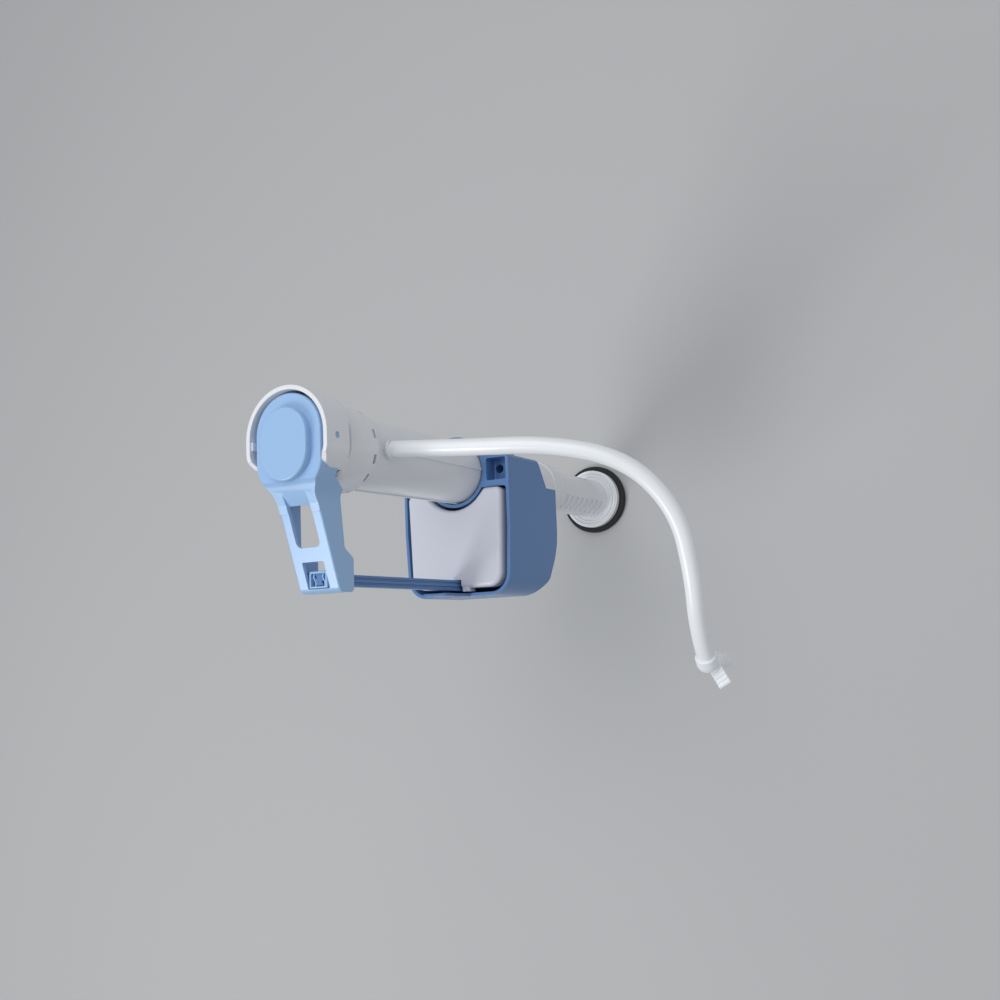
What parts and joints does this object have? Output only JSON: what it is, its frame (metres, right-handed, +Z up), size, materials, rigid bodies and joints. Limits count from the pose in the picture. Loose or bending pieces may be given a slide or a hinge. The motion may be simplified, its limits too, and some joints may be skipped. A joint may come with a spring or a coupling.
{
  "type": "toilet fill valve",
  "caption": "Side-float toilet fill valve: threaded shank, height-adjustable body, lever head, float in a cup, and a curved refill hose with an overflow elbow.",
  "frame": {"origin": "on the valve's vertical axis, in the plane of the tank floor that the rubber washer seats on", "axes": "+Z up the valve; the lever, rod, float and cup lie towards -Y; the refill nozzle points along +X"},
  "size_m": [0.2139, 0.1595, 0.405],
  "materials": {
    "white_plastic": "satin moulded",
    "inner_plastic": "matt moulded acetal",
    "nut_plastic": "satin nylon",
    "float_plastic": "satin moulded",
    "hose_plastic": "soft satin",
    "light_blue_plastic": "satin moulded",
    "deep_blue_plastic": "satin moulded",
    "black_rubber": "matt",
    "grey_rubber": "matt"
  },
  "bodies": {
    "base": {"lower_riser": "white_plastic", "seal_washer": "black_rubber", "inlet_strainer": "inner_plastic", "flow_restrictor": "inner_plastic"},
    "nut_washer": {"friction_washer": "nut_plastic"},
    "tank_nut": {"lock_nut": "nut_plastic"},
    "valve_body": {"body_tube": "white_plastic", "supply_tube": "inner_plastic", "supply_orings": "black_rubber", "valve_seat": "inner_plastic", "diaphragm": "grey_rubber", "pilot_cover": "inner_plastic", "anti_siphon_ring": "grey_rubber", "head_shell": "white_plastic", "float_cup": "deep_blue_plastic", "refill_nozzle": "white_plastic", "refill_hose": "hose_plastic", "overflow_elbow": "hose_plastic"},
    "ring": {"height_lock_ring": "white_plastic"},
    "cup_flap": {"cup_drain_flap": "grey_rubber"},
    "core": {"diaphragm_core": "inner_plastic"},
    "lever": {"lever_arm": "light_blue_plastic", "pilot_pad": "grey_rubber"},
    "clip": {"rod_clip": "light_blue_plastic"},
    "float_rod": {"adjuster_rod": "deep_blue_plastic", "float": "float_plastic"}
  },
  "joints": [
    {"name": "height_slide", "type": "slide", "parent": "base", "child": "valve_body", "axis": [0, 0, 1], "range_m": [-0.055, 0.008]},
    {"name": "ring_turn", "type": "hinge", "parent": "valve_body", "child": "ring", "pos_m": [0, 0, 0.09], "axis": [0, 0, 1], "range_deg": [0, 45]},
    {"name": "lever_pivot", "type": "hinge", "parent": "valve_body", "child": "lever", "pos_m": [0, 0.0005, 0.342], "axis": [-1, 0, 0], "range_deg": [0, 9]},
    {"name": "float_travel", "type": "slide", "parent": "valve_body", "child": "clip", "axis": [0, 0, 1], "range_m": [0, 0.01092]},
    {"name": "level_adjust", "type": "slide", "parent": "clip", "child": "float_rod", "axis": [0, 0, 1], "range_m": [0, 0.03]},
    {"name": "diaphragm_lift", "type": "slide", "parent": "valve_body", "child": "core", "axis": [0, 0, 1], "range_m": [-0.0014, 0], "deforming": ["diaphragm"]},
    {"name": "drain_flap_hinge", "type": "hinge", "parent": "valve_body", "child": "cup_flap", "pos_m": [0.018, -0.021, 0.1331], "axis": [1, 0, 0], "range_deg": [0, 25], "stiffness_Nm_per_rad": 0.002},
    {"name": "nut_travel", "type": "slide", "parent": "base", "child": "nut_washer", "axis": [0, 0, -1], "range_m": [0, 0.026]},
    {"name": "nut_turn", "type": "hinge", "parent": "nut_washer", "child": "tank_nut", "pos_m": [0, 0, -0.018], "axis": [0, 0, 1], "range_deg": [0, 5159.02]}
  ],
  "couplings": [
    {"joint": "float_travel", "follows": "lever_pivot", "m_per_rad": 0.0695},
    {"joint": "diaphragm_lift", "follows": "lever_pivot", "m_per_rad": -0.008913},
    {"joint": "nut_turn", "follows": "nut_travel", "rad_per_m": 3463.1}
  ]
}
